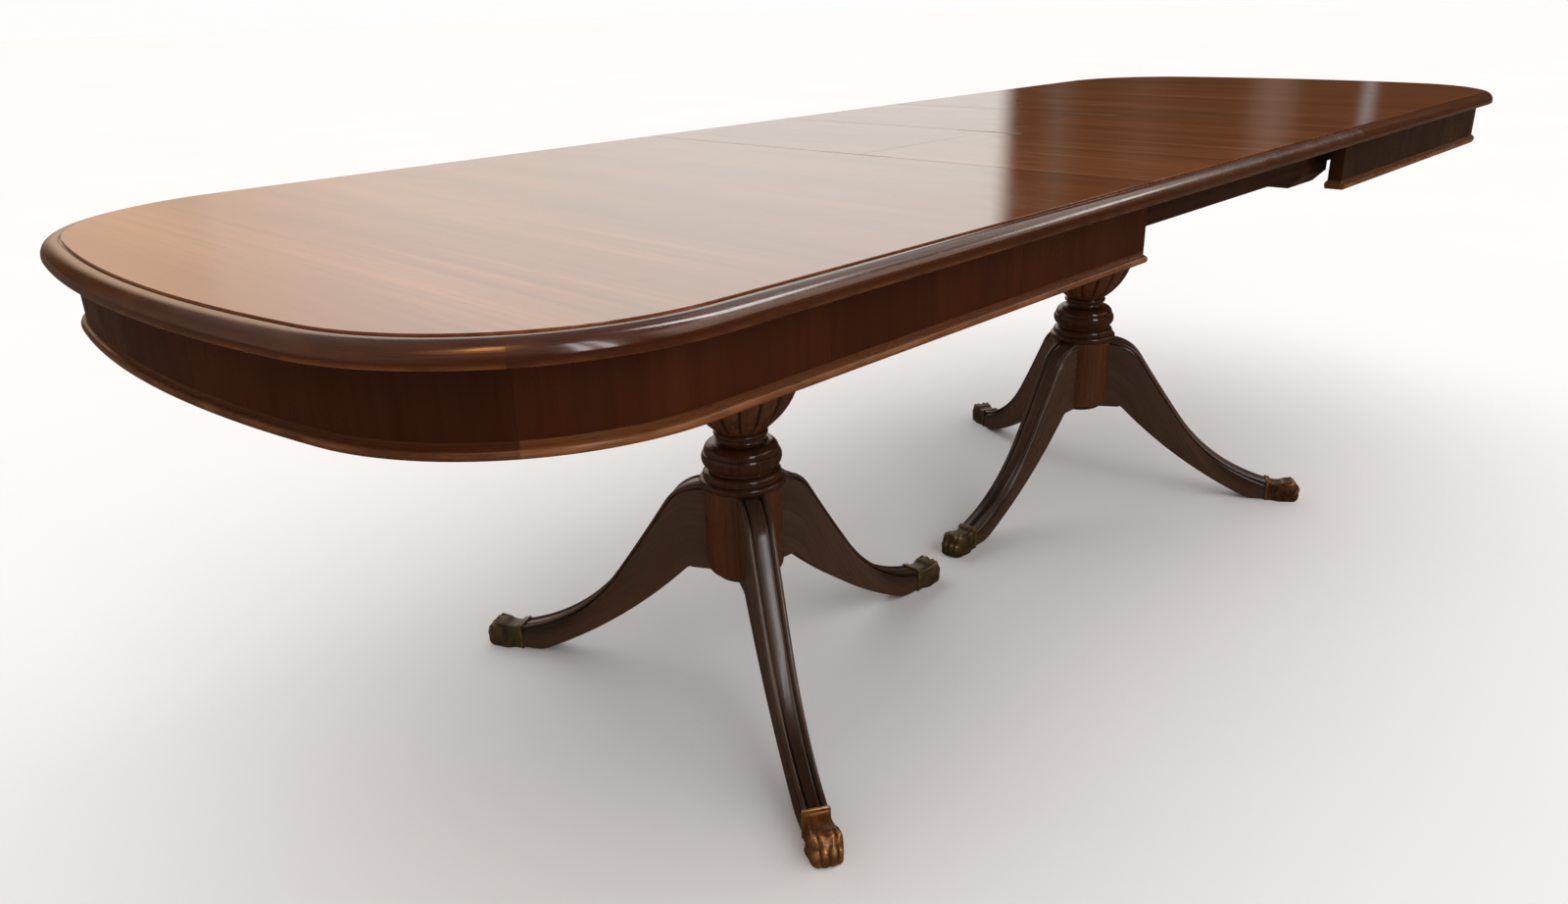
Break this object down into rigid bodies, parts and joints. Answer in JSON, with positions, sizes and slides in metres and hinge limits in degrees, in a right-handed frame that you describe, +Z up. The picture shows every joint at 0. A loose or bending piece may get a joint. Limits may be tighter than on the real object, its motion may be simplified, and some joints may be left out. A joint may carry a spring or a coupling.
{
  "type": "dining table",
  "caption": "Extending dining table with rounded D ends, folding leaves and turned urn pedestals on sabre legs with brass paws; the halves of the top slide on runners.",
  "frame": {"origin": "on the floor under the middle of the top, on the seam between the leaves", "axes": "+X along the table to the far end, +Y to the back, +Z up"},
  "size_m": [2.744, 0.974, 0.762],
  "materials": {
    "polished_mahogany": "french polished, glossy",
    "lipping_mahogany": "polished",
    "apron_mahogany": "satin",
    "bead_mahogany": "polished",
    "turned_mahogany": "polished",
    "dark_mahogany": "polished",
    "runner_oak": "waxed",
    "antique_brass": "antique patina",
    "hinge_brass": "brushed",
    "black_iron": "black"
  },
  "bodies": {
    "base": {"base_back_runner": "runner_oak", "base_front_runner": "runner_oak", "far_bearer": "runner_oak", "far_column": "turned_mahogany", "far_leg_back": "dark_mahogany", "far_leg_front": "dark_mahogany", "far_leg_inner": "dark_mahogany", "far_paw_back": "antique_brass", "far_paw_front": "antique_brass", "far_paw_inner": "antique_brass", "far_spider_plate": "black_iron", "far_top_block": "turned_mahogany", "near_bearer": "runner_oak", "near_column": "turned_mahogany", "near_leg_back": "dark_mahogany", "near_leg_front": "dark_mahogany", "near_leg_inner": "dark_mahogany", "near_paw_back": "antique_brass", "near_paw_front": "antique_brass", "near_paw_inner": "antique_brass", "near_spider_plate": "black_iron", "near_top_block": "turned_mahogany"},
    "near_half": {"near_back_apron": "apron_mahogany", "near_back_bead": "bead_mahogany", "near_back_lipping": "lipping_mahogany", "near_back_runner": "runner_oak", "near_end_apron": "apron_mahogany", "near_end_bead": "bead_mahogany", "near_end_lipping": "lipping_mahogany", "near_front_apron": "apron_mahogany", "near_front_bead": "bead_mahogany", "near_front_lipping": "lipping_mahogany", "near_front_runner": "runner_oak", "near_top_panel": "polished_mahogany"},
    "far_half": {"far_back_apron": "apron_mahogany", "far_back_bead": "bead_mahogany", "far_back_lipping": "lipping_mahogany", "far_back_runner": "runner_oak", "far_end_apron": "apron_mahogany", "far_end_bead": "bead_mahogany", "far_end_lipping": "lipping_mahogany", "far_front_apron": "apron_mahogany", "far_front_bead": "bead_mahogany", "far_front_lipping": "lipping_mahogany", "far_front_runner": "runner_oak", "far_top_panel": "polished_mahogany"},
    "near_leaf_fixed": {"near_leaf_fixed_hinge_plates": "hinge_brass", "near_leaf_fixed_lipping": "lipping_mahogany", "near_leaf_fixed_panel": "polished_mahogany"},
    "near_leaf_flap": {"near_leaf_flap_hinge_plates": "hinge_brass", "near_leaf_flap_lipping": "lipping_mahogany", "near_leaf_flap_panel": "polished_mahogany"},
    "far_leaf_fixed": {"far_leaf_fixed_hinge_plates": "hinge_brass", "far_leaf_fixed_lipping": "lipping_mahogany", "far_leaf_fixed_panel": "polished_mahogany"},
    "far_leaf_flap": {"far_leaf_flap_hinge_plates": "hinge_brass", "far_leaf_flap_lipping": "lipping_mahogany", "far_leaf_flap_panel": "polished_mahogany"}
  },
  "joints": [
    {"name": "near_half_slide", "type": "slide", "parent": "base", "child": "near_half", "axis": [-1, 0, 0], "range_m": [0, 0.12]},
    {"name": "far_half_slide", "type": "slide", "parent": "base", "child": "far_half", "axis": [1, 0, 0], "range_m": [0, 0.12]},
    {"name": "near_leaf_lift", "type": "slide", "parent": "base", "child": "near_leaf_fixed", "axis": [0, 0, 1], "range_m": [0, 0.15]},
    {"name": "near_leaf_fold", "type": "hinge", "parent": "near_leaf_fixed", "child": "near_leaf_flap", "pos_m": [-0.1725, 0, 0.762], "axis": [-1, 0, 0], "range_deg": [0, 178]},
    {"name": "far_leaf_lift", "type": "slide", "parent": "base", "child": "far_leaf_fixed", "axis": [0, 0, 1], "range_m": [0, 0.15]},
    {"name": "far_leaf_fold", "type": "hinge", "parent": "far_leaf_fixed", "child": "far_leaf_flap", "pos_m": [0.1725, 0, 0.762], "axis": [-1, 0, 0], "range_deg": [0, 178]}
  ]
}
